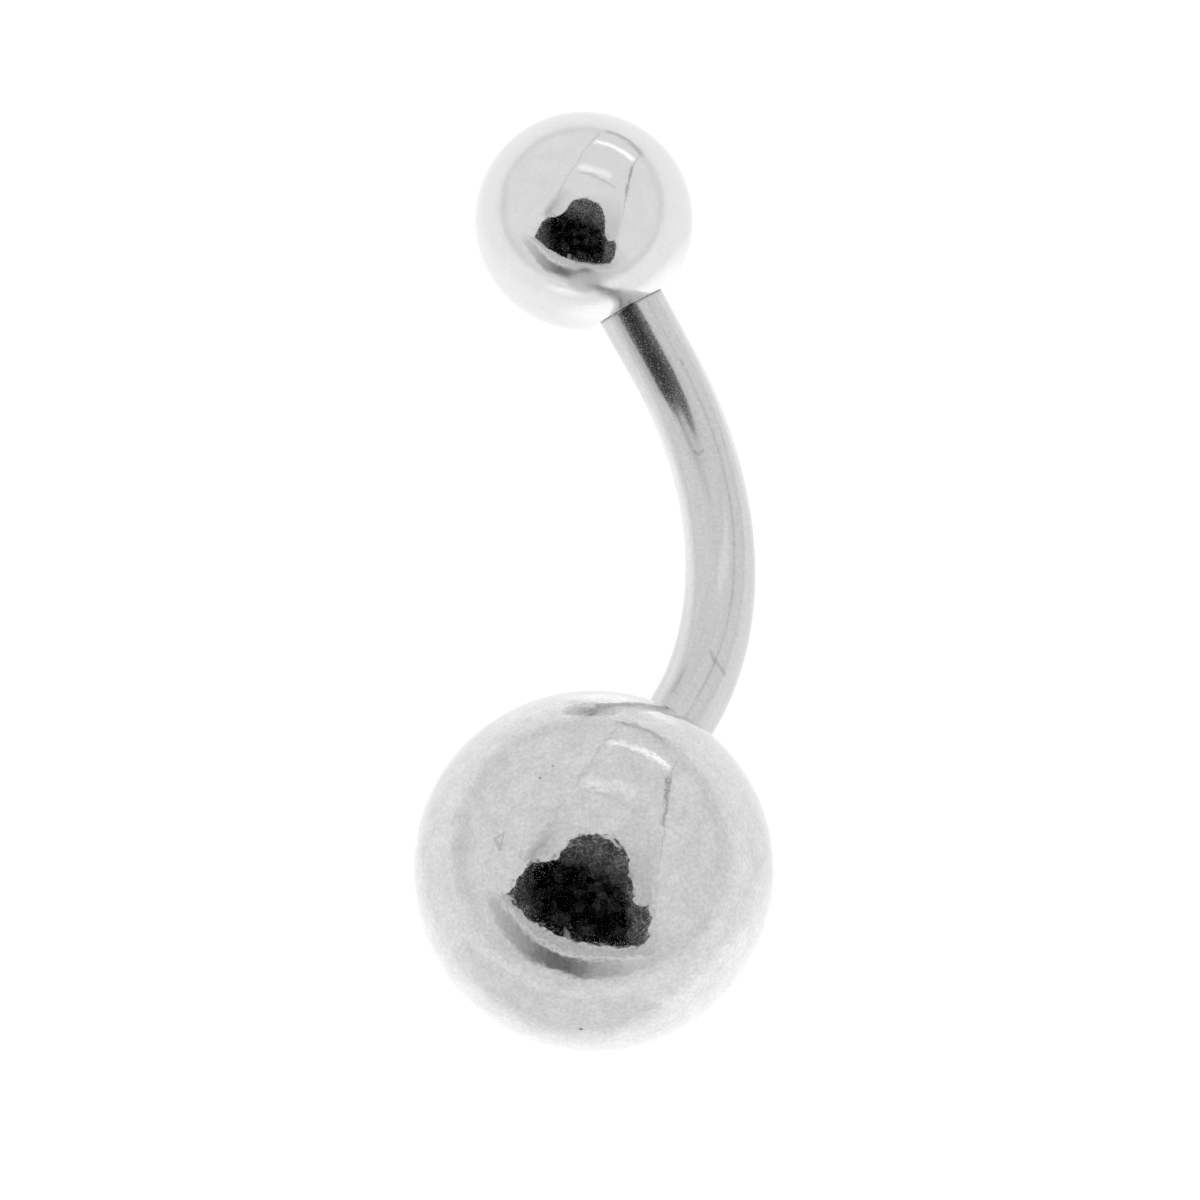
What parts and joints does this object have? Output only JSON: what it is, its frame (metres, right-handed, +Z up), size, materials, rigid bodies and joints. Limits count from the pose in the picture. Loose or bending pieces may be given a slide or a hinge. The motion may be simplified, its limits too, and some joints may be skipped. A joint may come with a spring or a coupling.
{
  "type": "curved barbell",
  "caption": "Curved navel barbell: a bent steel bar with a small ball screwed onto one threaded end and a larger ball onto the other, lying at rest.",
  "frame": {"origin": "on the surface that it lies on, below the middle of its box", "axes": "+Z up from the surface; +Y from the large ball towards the small ball; the bend bulges towards +X and down to the surface"},
  "size_m": [0.008, 0.0226, 0.008],
  "materials": {
    "bar_steel": "surgical steel polished along the bar",
    "ball_steel": "mirror-polished surgical steel"
  },
  "bodies": {
    "bar": {"curved_bar": "bar_steel"},
    "small_ball": {"small_ball": "ball_steel"},
    "large_ball": {"large_ball": "ball_steel"}
  },
  "joints": [
    {"name": "small_ball_unscrew", "type": "slide", "parent": "bar", "child": "small_ball", "axis": [-0.4562, 0.8392, 0.2962], "range_m": [0, 0.004]},
    {"name": "large_ball_unscrew", "type": "slide", "parent": "bar", "child": "large_ball", "axis": [-0.3864, -0.8339, 0.3942], "range_m": [0, 0.004]}
  ]
}
